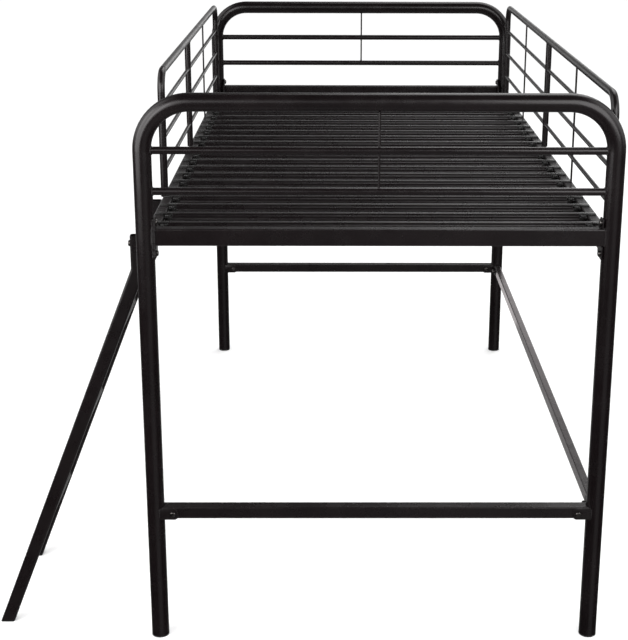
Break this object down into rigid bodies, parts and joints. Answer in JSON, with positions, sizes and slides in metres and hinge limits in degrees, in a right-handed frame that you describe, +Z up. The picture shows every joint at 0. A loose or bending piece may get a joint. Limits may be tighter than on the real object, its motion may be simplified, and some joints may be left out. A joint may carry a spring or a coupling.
{
  "type": "loft bed",
  "caption": "Mid-height steel tube loft bed for a twin mattress: hoop end frames, guard rails, slat deck, open space below and a sloping bolted side ladder",
  "frame": {"origin": "Centre of the bounding box of bed and ladder together, at floor level (Z = 0 under the feet)", "axes": "+X across the bed, away from the ladder side; +Y along the bed, from the foot end frame beside the ladder to the head end frame; +Z up"},
  "size_m": [1.4146, 1.9922, 1.281],
  "materials": {
    "end_frame": "satin black powder coat",
    "lower_frame": "satin black powder coat",
    "side_rail": "satin black powder coat",
    "guard_rail": "satin black powder coat",
    "ladder": "satin black powder coat",
    "slat": "satin black powder coat",
    "slat_plug": "moulded black plastic",
    "foot_plastic": "moulded black plastic",
    "bolt": "black oxide steel, slightly shiny",
    "insert": "zinc plated steel"
  },
  "bodies": {
    "root": {"front_end_tube": "end_frame", "back_end_tube": "end_frame", "front_upper_rod": "end_frame", "back_upper_rod": "end_frame", "front_lower_rod": "end_frame", "back_lower_rod": "end_frame", "front_centre_wire": "end_frame", "back_centre_wire": "end_frame", "front_end_rail": "end_frame", "back_end_rail": "end_frame", "front_lower_bar": "lower_frame", "back_lower_bar": "lower_frame", "lower_bar_lugs": "lower_frame", "right_stringer": "lower_frame", "stringer_lugs": "lower_frame", "left_side_rail": "side_rail", "right_side_rail": "side_rail", "rail_end_plates": "side_rail", "left_guard_tube": "guard_rail", "right_guard_tube": "guard_rail", "guard_mid_posts": "guard_rail", "left_guard_rods": "guard_rail", "right_guard_rods": "guard_rail", "guard_wires": "guard_rail", "left_slat_plugs": "slat_plug", "right_slat_plugs": "slat_plug", "front_ladder_stile": "ladder", "rear_ladder_stile": "ladder", "rung_1": "ladder", "rung_2": "ladder", "rung_3": "ladder", "ladder_feet": "foot_plastic", "post_feet": "foot_plastic", "ladder_spacers": "foot_plastic", "corner_bolts": "bolt", "lug_bolts": "bolt", "ladder_bolts": "bolt", "threaded_inserts": "insert", "slat_01": "slat", "slat_02": "slat", "slat_03": "slat", "slat_04": "slat", "slat_05": "slat", "slat_06": "slat", "slat_07": "slat", "slat_08": "slat", "slat_09": "slat", "slat_10": "slat", "slat_11": "slat", "slat_12": "slat", "slat_13": "slat", "slat_14": "slat", "slat_15": "slat", "slat_16": "slat", "slat_17": "slat", "slat_18": "slat", "slat_19": "slat", "slat_20": "slat", "slat_21": "slat", "slat_22": "slat"}
  },
  "joints": []
}
